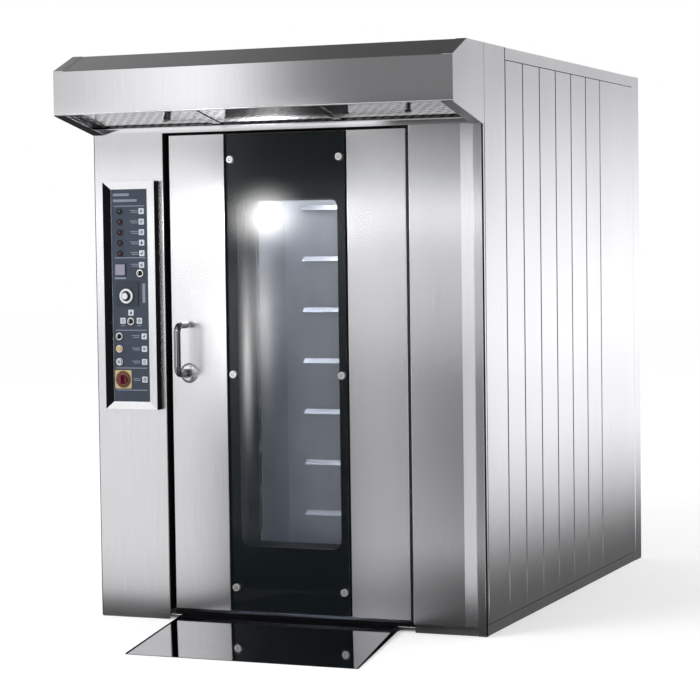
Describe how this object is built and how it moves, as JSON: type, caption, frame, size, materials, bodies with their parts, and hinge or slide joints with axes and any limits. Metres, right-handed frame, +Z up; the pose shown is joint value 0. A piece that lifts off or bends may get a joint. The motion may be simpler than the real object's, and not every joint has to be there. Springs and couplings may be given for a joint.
{
  "type": "rotary rack convection oven",
  "caption": "Walk-in rotary rack convection oven with a hinged glazed door, lever latch, rack turntable, control column, extraction hood and a low entry ramp.",
  "frame": {"origin": "on the floor under the middle of the whole outline, ramp included", "axes": "+X to the hinge side as seen from the front, +Y to the rear wall, +Z up; the door faces -Y"},
  "size_m": [1.613, 2.935, 2.332],
  "materials": {
    "satin_steel": "satin",
    "inner_steel": "satin",
    "frame_steel": "matte",
    "filter_mesh": "satin",
    "mineral_wool": "matte",
    "element_steel": "satin",
    "cascade_iron": "matte",
    "motor_paint": "satin",
    "wheel_steel": "satin",
    "panel_print": "satin",
    "lamp_lens": "gloss",
    "instrument_black": "satin",
    "isolator_yellow": "satin",
    "isolator_red": "satin",
    "collar_chrome": "gloss",
    "knob_black": "satin",
    "start_yellow": "satin",
    "steam_grey": "satin",
    "tray_zinc": "satin",
    "gland_plastic": "satin",
    "outer_glass": "gloss",
    "inner_glass": "gloss",
    "polished_steel": "polished",
    "gasket_rubber": "matte"
  },
  "bodies": {
    "cabinet": {"base_frame": "frame_steel", "chamber_floor": "inner_steel", "threshold": "satin_steel", "ramp": "satin_steel", "control_column": "satin_steel", "right_jamb": "satin_steel", "corner_posts": "satin_steel", "header_panel": "satin_steel", "door_stop_frame": "satin_steel", "side_panels": "satin_steel", "rear_panels": "satin_steel", "roof_deck": "satin_steel", "edge_trims": "satin_steel", "insulation_slabs": "mineral_wool", "chamber_liner": "inner_steel", "air_ducts": "inner_steel", "air_wall": "inner_steel", "heater_bank": "element_steel", "steam_generator": "cascade_iron", "fan_motor": "motor_paint", "hood_canopy": "satin_steel", "hood_cheeks": "satin_steel", "hood_filters": "filter_mesh", "extractor_housing": "satin_steel", "exhaust_duct": "inner_steel", "control_bezel": "satin_steel", "control_plate": "panel_print", "indicator_lamps": "lamp_lens", "panel_instruments": "instrument_black", "isolator_plate": "isolator_yellow", "switch_collars": "collar_chrome", "electrics_tray": "tray_zinc", "cable_gland": "gland_plastic", "turntable_bearing": "frame_steel", "gearmotor": "motor_paint", "drive_chain": "frame_steel", "hinge_brackets": "frame_steel"},
    "door": {"door_pan": "inner_steel", "door_insulation": "mineral_wool", "door_skins": "satin_steel", "door_glass_outer": "outer_glass", "door_glass_inner": "inner_glass", "glass_standoffs": "polished_steel", "door_gasket": "gasket_rubber", "handle_rosette": "satin_steel"},
    "handle": {"handle_lever": "polished_steel", "latch_cam": "inner_steel"},
    "rack_table": {"turntable": "inner_steel", "driven_sprocket": "frame_steel"},
    "drive_shaft": {"drive_sprocket": "frame_steel"},
    "fan_wheel": {"circulation_impeller": "wheel_steel"},
    "extractor_wheel": {"extractor_impeller": "wheel_steel"},
    "damper": {"damper_flap": "inner_steel"},
    "isolator": {"isolator_knob": "isolator_red"},
    "temperature_knob": {"temperature_selector": "knob_black"},
    "mode_knob": {"mode_selector": "knob_black"},
    "light_knob": {"light_selector": "knob_black"},
    "timer_knob": {"timer_dial": "instrument_black"},
    "start_key": {"start_button": "start_yellow"},
    "steam_key": {"steam_button": "steam_grey"}
  },
  "joints": [
    {"name": "door_hinge", "type": "hinge", "parent": "cabinet", "child": "door", "pos_m": [0.459, -0.6925, 0.97], "axis": [0, 0, 1], "range_deg": [0, 110]},
    {"name": "handle_turn", "type": "hinge", "parent": "door", "child": "handle", "pos_m": [-0.412, -0.7275, 0.97], "axis": [0, 1, 0], "range_deg": [0, 50]},
    {"name": "table_spin", "type": "hinge", "parent": "cabinet", "child": "rack_table", "pos_m": [0, 0.0495, 0.04], "axis": [0, 0, 1], "continuous": true},
    {"name": "drive_spin", "type": "hinge", "parent": "cabinet", "child": "drive_shaft", "pos_m": [0, 1.01925, 0.06], "axis": [0, 0, 1], "continuous": true},
    {"name": "fan_spin", "type": "hinge", "parent": "cabinet", "child": "fan_wheel", "pos_m": [0, 1.01925, 1.6], "axis": [0, 0, 1], "continuous": true},
    {"name": "extractor_spin", "type": "hinge", "parent": "cabinet", "child": "extractor_wheel", "pos_m": [0, -0.5725, 2.09], "axis": [0, 0, 1], "continuous": true},
    {"name": "damper_turn", "type": "hinge", "parent": "cabinet", "child": "damper", "pos_m": [-0.38, -0.5345, 2.072], "axis": [1, 0, 0], "range_deg": [0, 90]},
    {"name": "isolator_turn", "type": "hinge", "parent": "cabinet", "child": "isolator", "pos_m": [-0.6795, -0.7665, 0.945], "axis": [0, 1, 0], "range_deg": [0, 90]},
    {"name": "temperature_turn", "type": "hinge", "parent": "cabinet", "child": "temperature_knob", "pos_m": [-0.598, -0.7665, 1.361], "axis": [0, 1, 0], "range_deg": [-45, 45]},
    {"name": "mode_turn", "type": "hinge", "parent": "cabinet", "child": "mode_knob", "pos_m": [-0.642, -0.7665, 1.173], "axis": [0, 1, 0], "range_deg": [-60, 60]},
    {"name": "light_turn", "type": "hinge", "parent": "cabinet", "child": "light_knob", "pos_m": [-0.694, -0.7665, 1.114], "axis": [0, 1, 0], "range_deg": [0, 60]},
    {"name": "timer_turn", "type": "hinge", "parent": "cabinet", "child": "timer_knob", "pos_m": [-0.6575, -0.7665, 1.272], "axis": [0, 1, 0], "range_deg": [0, 300]},
    {"name": "start_press", "type": "slide", "parent": "cabinet", "child": "start_key", "axis": [0, 1, 0], "range_m": [0, 0.004], "stiffness_N_per_m": 400, "springref_m": -0.001},
    {"name": "steam_press", "type": "slide", "parent": "cabinet", "child": "steam_key", "axis": [0, 1, 0], "range_m": [0, 0.004], "stiffness_N_per_m": 400, "springref_m": -0.001}
  ],
  "couplings": [
    {"joint": "drive_spin", "follows": "table_spin", "ratio": 3}
  ]
}
